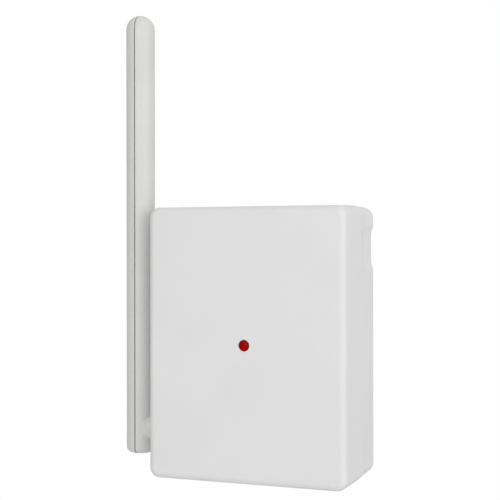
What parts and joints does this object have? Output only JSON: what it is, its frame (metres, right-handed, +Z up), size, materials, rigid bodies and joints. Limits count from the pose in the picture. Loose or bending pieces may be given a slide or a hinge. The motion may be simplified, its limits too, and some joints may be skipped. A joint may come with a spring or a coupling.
{
  "type": "plug-in remote control outlet",
  "caption": "White plug-in lamp control module with a pass-through socket, a red status lens, a push button and a fold-up rod aerial on its left side.",
  "frame": {"origin": "midway between the two flat plug blades, on the back plane of the case", "axes": "+X to the right of someone facing the front, +Y out of the back towards the wall outlet, +Z up"},
  "size_m": [0.0686, 0.0514, 0.1333],
  "materials": {
    "case": "satin",
    "aerial": "satin",
    "button": "satin",
    "lens": "glossy, see-through red",
    "socket": "satin",
    "blade": "drawn, lightly polished",
    "contact": "stamped",
    "carrier": "matt",
    "screw": "zinc plated",
    "board": "solder mask",
    "aluminium": "extruded",
    "package": "moulded epoxy",
    "ferrite": "sintered",
    "winding": "enamelled wire",
    "glass_tube": "clear",
    "varistor": "dipped epoxy",
    "film": "moulded",
    "can": "sleeved can",
    "spacer": "nylon",
    "led": "tinted epoxy",
    "whip": "drawn spring wire",
    "lead": "soft sheath"
  },
  "bodies": {
    "case": {"front_cover": "case", "back_cover": "case", "case_screws": "screw", "line_blade": "blade", "neutral_blade": "blade", "ground_pin": "blade", "blade_carrier": "carrier", "ground_strap": "contact", "socket_block": "socket", "socket_retainer": "carrier", "socket_line_contact": "contact", "socket_neutral_contact": "contact", "socket_ground_contact": "contact", "main_board": "board", "board_screws": "screw", "heat_sink": "aluminium", "triac": "package", "heat_sink_screw": "screw", "choke_core": "ferrite", "choke_winding": "winding", "fuse": "glass_tube", "fuse_clips": "contact", "varistor": "varistor", "film_capacitor": "film", "dropper_capacitor": "film", "smoothing_capacitor": "can", "controller_chip": "package", "radio_board": "board", "board_spacers": "spacer", "board_header": "package", "status_led": "led", "status_lens": "lens", "push_switch": "package", "friction_washer": "screw", "aerial_lead": "lead", "aerial_jack": "aluminium"},
    "aerial": {"aerial_outer_shell": "aerial", "aerial_inner_shell": "aerial", "aerial_whip": "whip", "retaining_clip": "screw"},
    "button": {"button_cap": "button", "switch_plunger": "spacer"}
  },
  "joints": [
    {"name": "aerial_pivot", "type": "hinge", "parent": "case", "child": "aerial", "pos_m": [-0.0288, -0.0219, -0.0375], "axis": [1, 0, 0], "range_deg": [0, 180]},
    {"name": "button_press", "type": "slide", "parent": "case", "child": "button", "axis": [0, 0, -1], "range_m": [0, 0.0005], "stiffness_N_per_m": 1000, "springref_m": -0.0005}
  ]
}
